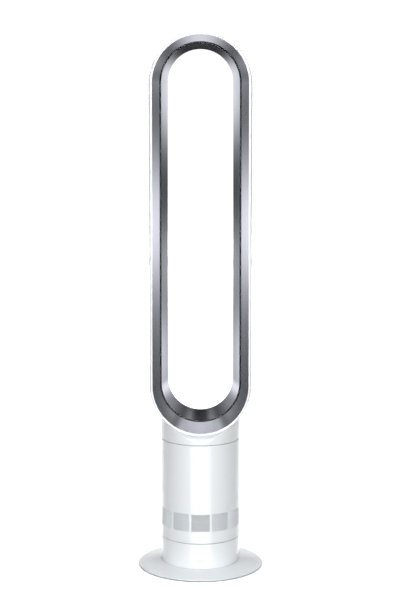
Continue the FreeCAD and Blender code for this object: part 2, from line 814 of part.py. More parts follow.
def make_inner_band():
    """The silver lip behind the slot, from the throat to the slot's edge."""
    lip_y = slot_y + lip_setback
    lip_across = slot_half_width - slot_height - lip_thickness
    rear_y = throat_y - trim_gap
    return around_loop(polygon_face([
        (throat_half_width, rear_y), (lip_across, lip_y), (lip_across + lip_thickness * 0.6, lip_y - 0.3),
        (lip_across + lip_thickness, lip_y + 0.4), (throat_half_width + lip_thickness, rear_y)]), end_lengths)


def make_slot_spacers():
    """Small blocks that keep the slot's height along the straight sides."""
    low_y = slot_y + curl_depth * 0.45
    high_y = slot_y + curl_depth * 0.8
    lip_outer = slot_half_width - slot_height
    rear_y = throat_y - trim_gap
    lip_corner_y = slot_y + lip_setback + 0.4
    slope = (throat_half_width + lip_thickness - lip_outer) / (rear_y - lip_corner_y)
    spacers = []
    span = upper_centre_z - lower_centre_z
    for side in (1, -1):
        for row in range(spacer_rows):
            low_z = lower_centre_z + span * (row + 0.5) / spacer_rows - spacer_length / 2
            corners = [(lip_outer + slope * (low_y - lip_corner_y) + seat_gap, low_y),
                       (slot_half_width + curl_step - seat_gap, low_y),
                       (slot_half_width + curl_swell - seat_gap, high_y),
                       (lip_outer + slope * (high_y - lip_corner_y) + seat_gap, high_y)]
            points = [FreeCAD.Vector(side * across, depth, low_z) for across, depth in corners]
            face = Part.Face(Part.makePolygon(points + points[:1]))
            spacers.append(face.extrude(FreeCAD.Vector(0, 0, spacer_length)))
    return Part.makeCompound(spacers)


def trough(extra):
    """The space above the neck: the loop's own skin, then a round shoulder."""
    reach = body_radius
    nose_centre = (loop_half - nose_width, front_y + nose_depth)
    back_centre = (loop_half - back_width, back_y - back_depth)
    share = (neck_back_y - back_centre[1]) / back_depth
    back_across = back_centre[0] + back_width * math.sqrt(1 - share ** 2) + extra
    front_share = (nose_centre[1] + neck_front_y) / nose_depth
    front_across = nose_centre[0] + nose_width * math.sqrt(1 - front_share ** 2) + extra
    steps = 6
    points = [(0, -reach - 1), (shoulder_reach + extra, -reach - 1), (shoulder_reach + extra, -reach)]
    for i in range(1, steps + 1):
        turn = math.pi / 2 * i / steps
        points.append((shoulder_reach + extra - (shoulder_reach + extra - front_across) * math.sin(turn),
                       -reach + (reach - neck_front_y) * (1 - math.cos(turn))))
    for i in range(1, steps + 1):
        depth = -neck_front_y + (nose_centre[1] + neck_front_y) * i / steps
        bow = math.sqrt(1 - ((nose_centre[1] - depth) / nose_depth) ** 2)
        points.append((nose_centre[0] + nose_width * bow + extra, depth))
    points.append((loop_half + extra, back_centre[1]))
    for i in range(1, steps + 1):
        depth = back_centre[1] + (neck_back_y - back_centre[1]) * i / steps
        bow = math.sqrt(1 - ((depth - back_centre[1]) / back_depth) ** 2)
        points.append((back_centre[0] + back_width * bow + extra, depth))
    for i in range(steps - 1, -1, -1):
        turn = math.pi / 2 * i / steps
        points.append((shoulder_reach + extra - (shoulder_reach + extra - back_across) * math.sin(turn),
                       reach - (reach - neck_back_y) * (1 - math.cos(turn))))
    points += [(shoulder_reach + extra, reach + 1), (0, reach + 1)]
    return polygon_face(points).revolve(spot(0, 0), DEPTH, 360)


def make_neck_shell():
    """The cylinder under the loop, hollow, with a roof that fits the loop."""
    high = lower_centre_z
    outer = rod(body_radius, neck_bottom_z, high).cut(trough(trim_gap / 2))
    inner = rod(body_inner, neck_bottom_z - 1, high).cut(trough(trim_gap / 2 + neck_wall))
    flange_top_z = neck_bottom_z + neck_flange_height
    flange = tube(body_inner + 1, spigot_outer + 4 * seat_gap, neck_bottom_z, flange_top_z)
    mouth = block((-mouth_half_length, -mouth_half_depth, neck_bottom_z),
                  (mouth_half_length, mouth_half_depth, high))
    return outer.cut(inner).fuse(flange).cut(mouth).removeSplitter()


def main():
    os.makedirs("parts", exist_ok=True)
    makers = {
        "base_disc": make_base_disc,
        "ballast_plate": make_ballast_plate,
        "rubber_feet": make_rubber_feet,
        "base_screws": make_base_screws,
        "base_collar": make_base_collar,
        "cord_gland": make_cord_gland,
        "power_button": make_power_button,
        "button_switch": make_button_switch,
        "control_board": make_control_board,
        "bearing_deck": make_bearing_deck,
        "slide_ring": make_slide_ring,
        "pivot_post": make_pivot_post,
        "retaining_clip": make_retaining_clip,
        "turntable": make_turntable,
        "oscillation_gear": make_oscillation_gear,
        "drive_pinion": make_drive_pinion,
        "pinion_shaft": make_pinion_shaft,
        "oscillation_motor": make_oscillation_motor,
        "main_shell": make_main_shell,
        "inlet_screens": make_inlet_screens,
        "isolator_ring": make_isolator_ring,
        "impeller_housing": make_impeller_housing,
        "impeller": make_impeller,
        "fan_shaft": make_fan_shaft,
        "fan_rotor": make_fan_rotor,
        "fan_stator": make_fan_stator,
        "motor_bucket_lower": make_motor_bucket_lower,
        "motor_frame": make_motor_frame,
        "motor_cap": make_motor_cap,
        "driver_board": make_driver_board,
        "motor_bucket_upper": make_motor_bucket_upper,
        "diffuser": make_diffuser,
        "upper_foam": make_upper_foam,
        "lower_foam": make_lower_foam,
        "air_collar": make_air_collar,
        "collar_seal": make_collar_seal,
        "neck_shell": make_neck_shell,
        "loop_shell": make_loop_shell,
        "loop_front_band": make_front_band,
        "loop_inner_band": make_inner_band,
        "slot_spacers": make_slot_spacers,
    }
    for name, maker in makers.items():
        save(name, maker())
    save("lower_bearing", make_bearing(lower_bearing_z))
    save("upper_bearing", make_bearing(upper_bearing_z))


main()
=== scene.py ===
import json
import math

import bmesh
import bpy
import numpy as np
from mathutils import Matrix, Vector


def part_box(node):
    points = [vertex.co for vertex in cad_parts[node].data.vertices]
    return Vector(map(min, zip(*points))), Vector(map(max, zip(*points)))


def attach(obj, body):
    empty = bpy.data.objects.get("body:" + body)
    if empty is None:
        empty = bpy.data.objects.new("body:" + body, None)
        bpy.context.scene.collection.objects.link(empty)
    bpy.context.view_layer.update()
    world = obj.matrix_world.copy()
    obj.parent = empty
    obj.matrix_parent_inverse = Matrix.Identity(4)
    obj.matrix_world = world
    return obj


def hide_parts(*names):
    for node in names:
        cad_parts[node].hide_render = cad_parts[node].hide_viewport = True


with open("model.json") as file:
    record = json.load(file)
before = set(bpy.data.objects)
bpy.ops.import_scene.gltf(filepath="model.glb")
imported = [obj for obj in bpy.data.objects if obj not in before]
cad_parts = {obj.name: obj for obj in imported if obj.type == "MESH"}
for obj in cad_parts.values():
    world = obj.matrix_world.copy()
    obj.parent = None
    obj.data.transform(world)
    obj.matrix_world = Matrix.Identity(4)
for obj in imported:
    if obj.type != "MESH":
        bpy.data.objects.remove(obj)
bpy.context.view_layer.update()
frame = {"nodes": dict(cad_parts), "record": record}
mm = 0.001
sharpEdge = 32      # degrees between faces above which an edge stays crisp
print("frame loaded:", len(frame["nodes"]), "CAD nodes")


# Camera: at the height of the top of the loop and a few degrees down; a lens shift frames the rest.
view = {"distance": 3033 * mm, "height": 965 * mm, "tilt": 4.9, "lens": 97.7, "sensor": 36.0,
        "shift": -0.178, "near": 0.05, "far": 60.0}

camera = bpy.data.cameras.new("camera")
camera.lens, camera.sensor_width = view["lens"], view["sensor"]
camera.shift_y = view["shift"]
camera.clip_start, camera.clip_end = view["near"], view["far"]
cameraPiece = bpy.data.objects.new("camera", camera)
bpy.context.scene.collection.objects.link(cameraPiece)
cameraPiece.location = (0.0, -view["distance"], view["height"])
cameraPiece.rotation_euler = (math.radians(90 - view["tilt"]), 0.0, 0.0)
bpy.context.scene.camera = cameraPiece
bpy.context.scene.view_settings.view_transform = "Standard"
print("camera placed")


def gridFaces(rows, columns, wrapRows=False, wrapColumns=False):
    # four-sided faces between the neighbouring points of a grid, closed round on itself where asked
    i = np.arange(rows if wrapRows else rows - 1)
    j = np.arange(columns if wrapColumns else columns - 1)
    i, j = np.meshgrid(i, j, indexing="ij")
    iNext, jNext = (i + 1) % rows, (j + 1) % columns
    return np.stack([i * columns + j, iNext * columns + j, iNext * columns + jNext, i * columns + jNext],
                    -1).reshape(-1, 4)


def newPiece(name, points, quads, uv=None, sharpFrom=sharpEdge):
    # one object from points and four-sided faces; equal points are merged and faces turned outwards
    mesh = bpy.data.meshes.new(name)
    mesh.vertices.add(len(points))
    mesh.vertices.foreach_set("co", np.ascontiguousarray(points, np.float32).ravel())
    mesh.loops.add(quads.size)
    mesh.loops.foreach_set("vertex_index", quads.astype(np.int32).ravel())
    mesh.polygons.add(len(quads))
    mesh.polygons.foreach_set("loop_start", np.arange(0, quads.size, 4, dtype=np.int32))
    mesh.update(calc_edges=True)
    if uv is not None:
        layer = mesh.uv_layers.new(name="alongLoop")
        layer.data.foreach_set("uv", np.ascontiguousarray(uv, np.float32).ravel())
    work = bmesh.new()
    work.from_mesh(mesh)
    bmesh.ops.remove_doubles(work, verts=work.verts, dist=1e-6)
    bmesh.ops.recalc_face_normals(work, faces=work.faces)
    work.to_mesh(mesh)
    work.free()
    mesh.polygons.foreach_set("use_smooth", np.ones(len(mesh.polygons), bool))
    mesh.set_sharp_from_angle(angle=math.radians(sharpFrom))
    piece = bpy.data.objects.new(name, mesh)
    bpy.context.scene.collection.objects.link(piece)
    return piece


def roundedProfile(corners, steps=6):
    # a closed outline whose corners (across, up, radius) are replaced by arcs that touch both sides
    outline = []
    spots = np.array([c[:2] for c in corners], float)
    for k, corner in enumerate(corners):
        radius = corner[2] if len(corner) > 2 else 0.0
        here, before, after = spots[k], spots[k - 1], spots[(k + 1) % len(spots)]
        if radius <= 0:
            outline.append(here[None])
            continue
        toBefore = (before - here) / np.linalg.norm(before - here)
        toAfter = (after - here) / np.linalg.norm(after - here)
        half = math.acos(float(np.clip(toBefore @ toAfter, -1, 1))) / 2
        reach = min(radius / math.tan(half), 0.49 * np.linalg.norm(before - here),
                    0.49 * np.linalg.norm(after - here))
        centre = here + (toBefore + toAfter) / np.linalg.norm(toBefore + toAfter) * reach / math.cos(half)
        first, last = here + toBefore * reach - centre, here + toAfter * reach - centre
        cosine = first @ last / (np.linalg.norm(first) * np.linalg.norm(last))
        span = math.acos(float(np.clip(cosine, -1, 1)))
        t = np.linspace(0, 1, steps + 1)[:, None]
        outline.append(centre + (np.sin((1 - t) * span) * first + np.sin(t * span) * last) / math.sin(span))
    return np.concatenate(outline)


def turnedPiece(name, outline, steps):
    # each outline point (r, z) goes to (r cos t, r sin t, z), with t once round the upright axis
    t = np.linspace(0, 2 * np.pi, steps, endpoint=False)[:, None]
    r, z = outline[:, 0][None], outline[:, 1][None]
    points = np.stack([r * np.cos(t), r * np.sin(t), z + 0 * t], -1).reshape(-1, 3)
    return newPiece(name, points, gridFaces(steps, len(outline), True, True))


def cutAway(piece, *cutters):
    # removes the cutters' shapes from the piece for good, then the cutters themselves
    for cutter in cutters:
        change = piece.modifiers.new("cut", "BOOLEAN")
        change.operation, change.solver, change.object = "DIFFERENCE", "EXACT", cutter
    bpy.context.view_layer.update()
    made = bpy.data.meshes.new_from_object(piece.evaluated_get(bpy.context.evaluated_depsgraph_get()))
    piece.modifiers.clear()
    piece.data = made
    made.set_sharp_from_angle(angle=math.radians(sharpEdge))
    for cutter in cutters:
        bpy.data.objects.remove(cutter)
    return piece


def rodPiece(name, radius, start, end, z, steps=64):
    # a rod along the depth: r cos t, y from start to end, z + r sin t, closed by a point at each end
    t = np.linspace(0, 2 * np.pi, steps, endpoint=False)[:, None]
    r = np.array([0, radius, radius, 0])[None]
    y = np.array([start, start, end, end])[None]
    points = np.stack([r * np.cos(t), y + 0 * t, z + r * np.sin(t)], -1).reshape(-1, 3)
    return newPiece(name, points, gridFaces(steps, 4, True, False))


def place(piece, node, body, material):
    # the piece stands for the CAD node, moves with its body and takes its finish
    piece.data.materials.clear()
    piece.data.materials.append(material)
    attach(piece, body)
    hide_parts(node)
    return piece


def node(tree, kind, spot=(0, 0), **values):
    # adds a shader node and sets its sockets or, where it has no such socket, its own settings
    made = tree.nodes.new(kind)
    made.location = spot
    for key, value in values.items():
        if key in made.inputs:
            made.inputs[key].default_value = value
        else:
            setattr(made, key, value)
    return made


def newMaterial(name):
    # an empty material with one principled shader joined to its output
    material = bpy.data.materials.new(name)
    material.use_nodes = True
    tree = material.node_tree
    tree.nodes.clear()
    output = node(tree, "ShaderNodeOutputMaterial", (700, 0))
    shader = node(tree, "ShaderNodeBsdfPrincipled", (400, 0))
    tree.links.new(shader.outputs["BSDF"], output.inputs["Surface"])
    return material, tree, shader


def mathsIn(tree):
    # gives a function that adds one maths node to the tree, from numbers or other nodes' outputs
    def maths(operation, a, b=0.0, c=0.0):
        step = node(tree, "ShaderNodeMath", (-800, 0), operation=operation)
        for socket, value in zip(step.inputs, (a, b, c)):
            if hasattr(value, "links"):
                tree.links.new(value, socket)
            else:
                socket.default_value = value
        return step.outputs[0]
    return maths


def finish(tree, shader, look, toneFactor, grainFactor):
    # tone between the look's two colours by one factor; roughness and bump height by the other
    tones = node(tree, "ShaderNodeMix", (-150, 250), data_type="RGBA")
    tones.inputs[6].default_value = (*look["light"], 1)
    tones.inputs[7].default_value = (*look["dark"], 1)
    gloss = node(tree, "ShaderNodeMapRange", (-150, -50))
    gloss.inputs["To Min"].default_value, gloss.inputs["To Max"].default_value = look["roughness"]
    bump = node(tree, "ShaderNodeBump", (100, -250), Strength=look["bump"][0], Distance=look["bump"][1])
    tree.links.new(toneFactor, tones.inputs[0])
    tree.links.new(grainFactor, gloss.inputs["Value"])
    tree.links.new(grainFactor, bump.inputs["Height"])
    tree.links.new(tones.outputs[2], shader.inputs["Base Color"])
    tree.links.new(gloss.outputs["Result"], shader.inputs["Roughness"])
    tree.links.new(bump.outputs["Normal"], shader.inputs["Normal"])
    for key, value in look.get("sockets", {}).items():
        shader.inputs[key].default_value = value


def mottled(name, look):
    # colour drifts between two near tones on a broad noise; a finer noise moves the roughness and a bump
    material, tree, shader = newMaterial(name)
    coordinates = node(tree, "ShaderNodeTexCoord", (-900, 0))
    broad = node(tree, "ShaderNodeTexNoise", (-650, 250), Scale=look["patch"], Detail=4.0, Roughness=0.55)
    fine = node(tree, "ShaderNodeTexNoise", (-650, -50), Scale=look["grain"], Detail=3.0, Roughness=0.6)
    for texture in (broad, fine):
        tree.links.new(coordinates.outputs["Object"], texture.inputs["Vector"])
    finish(tree, shader, look, broad.outputs["Fac"], fine.outputs["Fac"])
    return material


glossWhite = mottled("glossWhite", {
    "light": (0.745, 0.78, 0.795), "dark": (0.72, 0.755, 0.77), "patch": 9.0, "grain": 420.0,
    "roughness": (0.30, 0.40), "bump": (0.03, 0.0001),
    "sockets": {"Specular IOR Level": 0.15, "Coat Weight": 0.9, "Coat Roughness": 0.03, "Coat IOR": 1.45}})
casingWhite = mottled("casingWhite", {
    "light": (0.93, 0.94, 0.945), "dark": (0.90, 0.915, 0.92), "patch": 8.0, "grain": 380.0,
    "roughness": (0.30, 0.40), "bump": (0.03, 0.0001),
    "sockets": {"Specular IOR Level": 0.2, "Sheen Weight": 0.5, "Sheen Roughness": 0.35}})
discWhite = mottled("discWhite", {
    "light": (0.74, 0.77, 0.79), "dark": (0.72, 0.75, 0.77), "patch": 12.0, "grain": 380.0,
    "roughness": (0.22, 0.30), "bump": (0.02, 0.0001),
    "sockets": {"Coat Weight": 0.2, "Coat Roughness": 0.12}})
screenGrey = mottled("screenGrey", {
    "light": (0.80, 0.84, 0.86), "dark": (0.76, 0.80, 0.82), "patch": 30.0, "grain": 700.0,
    "roughness": (0.35, 0.5), "bump": (0.08, 0.0001)})
rubberGrey = mottled("rubberGrey", {
    "light": (0.09, 0.093, 0.097), "dark": (0.055, 0.057, 0.06), "patch": 60.0, "grain": 900.0,
    "roughness": (0.7, 0.9), "bump": (0.25, 0.0002)})
nylonGrey = mottled("nylonGrey", {
    "light": (0.06, 0.062, 0.066), "dark": (0.035, 0.037, 0.04), "patch": 40.0, "grain": 600.0,
    "roughness": (0.4, 0.6), "bump": (0.12, 0.0002)})
acetalWhite = mottled("acetalWhite", {
    "light": (0.72, 0.72, 0.70), "dark": (0.66, 0.66, 0.63), "patch": 30.0, "grain": 500.0,
    "roughness": (0.3, 0.45), "bump": (0.08, 0.0002), "sockets": {"Subsurface Weight": 0.05}})
boardGreen = mottled("boardGreen", {
    "light": (0.02, 0.16, 0.07), "dark": (0.01, 0.09, 0.045), "patch": 180.0, "grain": 900.0,
    "roughness": (0.25, 0.4), "bump": (0.1, 0.0002), "sockets": {"Coat Weight": 0.3}})
foamCharcoal = mottled("foamCharcoal", {
    "light": (0.045, 0.045, 0.048), "dark": (0.012, 0.012, 0.013), "patch": 700.0, "grain": 1100.0,
    "roughness": (0.85, 1.0), "bump": (0.8, 0.0006)})


def machined(name, light, dark, roughness, grain):
    # bare metal: fine noise drawn out round the upright axis, as turning marks, over a broad change of tone
    material, tree, shader = newMaterial(name)
    coordinates = node(tree, "ShaderNodeTexCoord", (-1100, 0))
    stretch = node(tree, "ShaderNodeMapping", (-900, 0), Scale=(8.0, 8.0, grain))
    marks = node(tree, "ShaderNodeTexNoise", (-650, 0), Scale=1.0, Detail=5.0, Roughness=0.65)
    tree.links.new(coordinates.outputs["Object"], stretch.inputs["Vector"])
    tree.links.new(stretch.outputs["Vector"], marks.inputs["Vector"])
    look = {"light": light, "dark": dark, "roughness": roughness, "bump": (0.12, 0.0001),
            "sockets": {"Metallic": 1.0}}
    finish(tree, shader, look, marks.outputs["Fac"], marks.outputs["Fac"])
    return material


ballastSteel = machined("ballastSteel", (0.34, 0.35, 0.36), (0.24, 0.25, 0.26), (0.35, 0.55), 900.0)
screwSteel = machined("screwSteel", (0.62, 0.62, 0.63), (0.48, 0.48, 0.5), (0.2, 0.35), 1500.0)
bearingSteel = machined("bearingSteel", (0.68, 0.69, 0.70), (0.56, 0.57, 0.58), (0.12, 0.25), 2500.0)
motorZinc = machined("motorZinc", (0.52, 0.53, 0.55), (0.4, 0.41, 0.43), (0.3, 0.5), 600.0)
statorIron = machined("statorIron", (0.22, 0.2, 0.19), (0.12, 0.11, 0.1), (0.35, 0.55), 2000.0)
magnetDark = machined("magnetDark", (0.12, 0.12, 0.125), (0.07, 0.07, 0.075), (0.3, 0.5), 1200.0)


def brushedSilver(look):
    # metal brushed along the loop: noise drawn out a hundredfold along the piece's own UV moves tone,
    # roughness and a shallow bump, and the highlight is stretched across the strokes
    material, tree, shader = newMaterial("brushedSilver")
    along = node(tree, "ShaderNodeUVMap", (-1100, 0), uv_map="alongLoop")
    stretch = node(tree, "ShaderNodeMapping", (-900, 0),
                   Scale=(look["strokeLength"], look["strokeWidth"], 1.0))
    strokes = node(tree, "ShaderNodeTexNoise", (-650, 100), Scale=1.0, Detail=6.0, Roughness=0.7)
    tangent = node(tree, "ShaderNodeTangent", (100, -450), direction_type="UV_MAP", uv_map="alongLoop")
    tree.links.new(along.outputs["UV"], stretch.inputs["Vector"])
    tree.links.new(stretch.outputs["Vector"], strokes.inputs["Vector"])
    tree.links.new(tangent.outputs["Tangent"], shader.inputs["Tangent"])
    finish(tree, shader, look, strokes.outputs["Fac"], strokes.outputs["Fac"])
    return material


silver = brushedSilver({
    "light": (0.60, 0.615, 0.67), "dark": (0.53, 0.545, 0.60), "roughness": (0.08, 0.13),
    "strokeLength": 6.0, "strokeWidth": 1300.0, "bump": (0.012, 0.0001),
    "sockets": {"Metallic": 1.0, "Anisotropic": 0.5, "Anisotropic Rotation": 0.25}})

# every CAD node takes the finish of its own slot; the pieces below replace some of them
slotFinish = {"white_abs": glossWhite, "silver_band": silver, "ballast_steel": ballastSteel,
              "rubber_grey": rubberGrey, "screw_steel": screwSteel, "board_green": boardGreen,
              "acetal_white": acetalWhite, "nylon_grey": nylonGrey, "motor_zinc": motorZinc,
              "bearing_steel": bearingSteel, "stator_iron": statorIron, "magnet_dark": magnetDark,
              "foam_charcoal": foamCharcoal, "screen_grey": screenGrey}
for entry in frame["record"]["subparts"]:
    for holder in frame["nodes"][entry["node"]].material_slots:
        holder.material = slotFinish[entry["material_slot"]]
print("materials made")


# base: disc, collar and button
discLow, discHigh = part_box("base_disc")
disc = {"radius": discHigh.x, "under": discLow.z, "top": discHigh.z, "hub": 75.2 * mm, "edgeHigh": 2.6 * mm,
        "slopeEnd": 1.2 * mm, "slopeHigh": 3.7 * mm, "rimHigh": 2.2 * mm}
baseDisc = turnedPiece("baseDiscTop", roundedProfile([
    (0.0, disc["under"]), (disc["radius"] - 1.2 * mm, disc["under"], 0.5 * mm),
    (disc["radius"], disc["rimHigh"], 0.4 * mm), (disc["radius"], disc["edgeHigh"], 0.5 * mm),
    (disc["radius"] - disc["slopeEnd"], disc["slopeHigh"], 1.4 * mm),
    (disc["hub"] + 1.0 * mm, disc["top"] - 0.2 * mm, 2.0 * mm), (disc["hub"], disc["top"], 0.3 * mm),
    (0.0, disc["top"])]), steps=256)
place(baseDisc, "base_disc", "base", discWhite)

collarLow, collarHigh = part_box("base_collar")
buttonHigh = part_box("power_button")[1]
glandLow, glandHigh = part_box("cord_gland")
collar = {"radius": collarHigh.x, "low": collarLow.z, "high": collarHigh.z, "wall": 2.5 * mm,
          "lipIn": 1.25 * mm, "step": 0.5 * mm, "buttonHeight": 25.5 * mm, "buttonRadius": 5.4 * mm,
          "buttonGap": 0.25 * mm, "glandRadius": 6.03 * mm, "cutNear": 60 * mm, "cutFar": 90 * mm}
baseCollar = turnedPiece("baseCollarWall", np.concatenate([roundedProfile([
    (collar["radius"] - collar["lipIn"], collar["low"]),
    (collar["radius"] - collar["lipIn"], collar["low"] + collar["step"]),
    (collar["radius"], collar["low"] + collar["step"], 0.35 * mm)], steps=4),
    np.stack([np.full(14, collar["radius"]),
              np.linspace(collar["low"] + 2 * mm, collar["high"] - 2 * mm, 14)], -1),
    roundedProfile([(collar["radius"] - 0.001 * mm, collar["high"] - 1.5 * mm),
                    (collar["radius"], collar["high"], 0.6 * mm),
                    (collar["radius"] - collar["wall"], collar["high"], 0.3 * mm),
                    (collar["radius"] - collar["wall"], collar["low"])], steps=4)]), steps=256)
cutAway(baseCollar,
        rodPiece("cutButton", collar["buttonRadius"] + collar["buttonGap"], -collar["cutFar"],
                 -collar["cutNear"], collar["buttonHeight"]),
        rodPiece("cutGland", collar["glandRadius"], collar["cutNear"], collar["cutFar"],
                 (glandLow.z + glandHigh.z) / 2))
place(baseCollar, "base_collar", "base", glossWhite)
print("disc and collar made")


def powerMark(look):
    # white plastic with a grey ring, broken at the top, and an upright bar: a band where the distance from
    # the button's centre is near the ring's radius, less a narrow upright strip at the top, plus a short bar
    material, tree, shader = newMaterial("powerMark")
    coordinates = node(tree, "ShaderNodeTexCoord", (-1500, 0))
    centred = node(tree, "ShaderNodeMapping", (-1300, 0), Location=(0.0, 0.0, -look["height"]))
    parts = node(tree, "ShaderNodeSeparateXYZ", (-1100, 0))
    tree.links.new(coordinates.outputs["Object"], centred.inputs["Vector"])
    tree.links.new(centred.outputs["Vector"], parts.inputs["Vector"])

    maths = mathsIn(tree)

    def within(value, limit):
        # one inside the limit, nought outside, with a soft edge
        return maths("SMOOTH_MIN", maths("MAXIMUM", maths("MULTIPLY", maths("SUBTRACT", limit, value),
                                                            1.0 / look["blur"]), 0.0), 1.0, 0.1)

    x, z = parts.outputs["X"], parts.outputs["Z"]
    across = maths("ABSOLUTE", x)
    distance = maths("SQRT", maths("ADD", maths("MULTIPLY", x, x), maths("MULTIPLY", z, z)))
    ring = within(maths("ABSOLUTE", maths("SUBTRACT", distance, look["ringRadius"])), look["line"] / 2)
    gap = maths("MULTIPLY", within(across, look["gap"] / 2), maths("GREATER_THAN", z, 0.0))
    ring = maths("MULTIPLY", ring, maths("SUBTRACT", 1.0, gap))
    bar = maths("MULTIPLY", within(across, look["line"] / 2),
                within(maths("ABSOLUTE", maths("SUBTRACT", z, look["barMiddle"])), look["barLength"] / 2))
    mark = maths("MINIMUM", maths("ADD", ring, bar), 1.0)
    grain = node(tree, "ShaderNodeTexNoise", (-650, -300), Scale=500.0, Detail=3.0)
    tree.links.new(coordinates.outputs["Object"], grain.inputs["Vector"])
    tones = node(tree, "ShaderNodeMix", (-150, 200), data_type="RGBA")
    tones.inputs[6].default_value = (*look["plastic"], 1)
    tones.inputs[7].default_value = (*look["ink"], 1)
    gloss = node(tree, "ShaderNodeMapRange", (-150, -50))
    gloss.inputs["To Min"].default_value, gloss.inputs["To Max"].default_value = look["roughness"]
    tree.links.new(mark, tones.inputs[0])
    tree.links.new(tones.outputs[2], shader.inputs["Base Color"])
    tree.links.new(grain.outputs["Fac"], gloss.inputs["Value"])
    tree.links.new(gloss.outputs["Result"], shader.inputs["Roughness"])
    return material


buttonWhite = powerMark({"height": collar["buttonHeight"], "ringRadius": 3.5 * mm, "line": 0.95 * mm,
                         "gap": 2.9 * mm, "barMiddle": 3.1 * mm, "barLength": 3.0 * mm, "blur": 0.1 * mm,
                         "plastic": (0.745, 0.78, 0.795), "ink": (0.36, 0.38, 0.395),
                         "roughness": (0.2, 0.3)})
button = {"radius": collar["buttonRadius"], "front": collar["radius"] - 0.05 * mm, "back": buttonHigh.y,
          "flange": 7.2 * mm, "flangeFront": -69.1 * mm, "flangeBack": -67.6 * mm, "stem": 1.5 * mm,
          "crown": 0.25 * mm}


def buttonSurface(size, height, steps=96, rings=14):
    # a cap whose face follows the collar: y = -sqrt(R^2 - x^2) inside the rim, rolled over at its edge,
    # then straight back to a flange and a stem
    t = np.linspace(0, 2 * np.pi, steps, endpoint=False)[:, None]
    face = np.linspace(0, 1, rings)
    roll = np.array([0.985, 1.0])
    r = np.concatenate([face * 0.95, roll, [1.0]]) * size["radius"]
    drop = np.concatenate([0 * face, [0.06 * mm, 0.22 * mm, 0.6 * mm]])
    r, drop = r[None], drop[None]
    x, z = r * np.cos(t), r * np.sin(t)
    y = -np.sqrt(size["front"] ** 2 - x ** 2) + drop + size["crown"] * (1 - (r / size["radius"]) ** 2)
    back = np.array([[size["radius"], size["flangeFront"]], [size["flange"], size["flangeFront"]],
                     [size["flange"], size["flangeBack"]], [size["stem"], size["flangeBack"]],
                     [size["stem"], size["back"]], [0.0, size["back"]]])
    rBack, yBack = back[:, 0][None], back[:, 1][None] + 0 * t
    x = np.concatenate([x, rBack * np.cos(t)], 1)
    z = np.concatenate([z, rBack * np.sin(t)], 1)
    y = np.concatenate([y, yBack], 1)
    points = np.stack([x, y, z + height], -1).reshape(-1, 3)
    return points, gridFaces(steps, x.shape[1], True, False)


powerButton = newPiece("powerButtonCap", *buttonSurface(button, collar["buttonHeight"]))
place(powerButton, "power_button", "power_button", buttonWhite)
print("button made")


# turning body: shell with its band of windows, and the drilled screens in them
shellLow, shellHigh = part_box("main_shell")
shell = {"radius": shellHigh.x, "low": shellLow.z, "high": shellHigh.z, "wall": 2.5 * mm, "edge": 0.6 * mm,
         "windows": 12, "halfAngle": 13.8, "windowLow": 81.0 * mm, "windowHigh": 114.0 * mm,
         "columns": 16, "sillGap": 2.0 * mm}


def windowedWall(size):
    # an outer and an inner wall on the same grid of angle and height, left open in each window;
    # every edge between an open and a closed cell is joined outer to inner by a reveal
    turn = 2 * np.pi / size["windows"]
    half = math.radians(size["halfAngle"])
    one = np.concatenate([np.linspace(-half, half, size["columns"] + 1),
                          np.linspace(half, turn - half, 3)[1:-1]])
    angle = (one[None] + turn * np.arange(size["windows"])[:, None]).ravel() - np.pi / 2
    inWindow = np.tile(np.arange(len(one)) < size["columns"], size["windows"])
    bottom, top, edge, gap = size["low"], size["high"], size["edge"], size["sillGap"]
    z = np.concatenate([[bottom, bottom + edge * 0.3, bottom + edge],
                        np.linspace(bottom + gap, size["windowLow"] - gap, 5),
                        np.linspace(size["windowLow"], size["windowHigh"], 9),
                        np.linspace(size["windowHigh"] + gap, top - gap, 24),
                        [top - edge, top - edge * 0.3, top]])
    inset = np.zeros(len(z))
    inset[[0, -1]], inset[[1, -2]] = edge, edge * 0.3
    outer, inner = size["radius"] - inset, np.full(len(z), size["radius"] - size["wall"])
    a = angle[:, None]
    walls = [np.stack([r[None] * np.cos(a), r[None] * np.sin(a), z[None] + 0 * a], -1)
             for r in (outer, inner)]
    points = np.concatenate([w.reshape(-1, 3) for w in walls])
    rows, columns = len(angle), len(z)
    inBand = (z[:-1] >= size["windowLow"] - 1e-7) & (z[1:] <= size["windowHigh"] + 1e-7)
    isOpen = inWindow[:, None] & inBand[None]
    wall = gridFaces(rows, columns, True, False).reshape(rows, columns - 1, 4)
    closed = wall[~isOpen]
    shift = rows * columns
    faces = [closed, closed[:, ::-1] + shift]
    i = np.arange(rows)
    nextRow = (i + 1) % rows
    for j in (0, columns - 1):
        faces.append(np.stack([i * columns + j, nextRow * columns + j, nextRow * columns + j + shift,
                               i * columns + j + shift], -1))
    ri, rj = np.nonzero(isOpen != np.roll(isOpen, 1, 0))      # reveals along the angle
    faces.append(np.stack([ri * columns + rj, ri * columns + rj + 1, ri * columns + rj + 1 + shift,
                           ri * columns + rj + shift], -1))
    ri, rj = np.nonzero(isOpen[:, 1:] != isOpen[:, :-1])      # reveals along the height
    rj = rj + 1
    rNext = (ri + 1) % rows
    faces.append(np.stack([ri * columns + rj, rNext * columns + rj, rNext * columns + rj + shift,
                           ri * columns + rj + shift], -1))
    return points, np.concatenate(faces)


mainShell = newPiece("mainShellWall", *windowedWall(shell))
place(mainShell, "main_shell", "turning_body", glossWhite)

screen = {"outer": 73.65 * mm, "inner": 71.3 * mm, "halfWidth": 17.45 * mm, "low": 81.05 * mm,
          "high": 113.95 * mm, "across": 18, "rows": 20, "hole": 0.84 * mm}


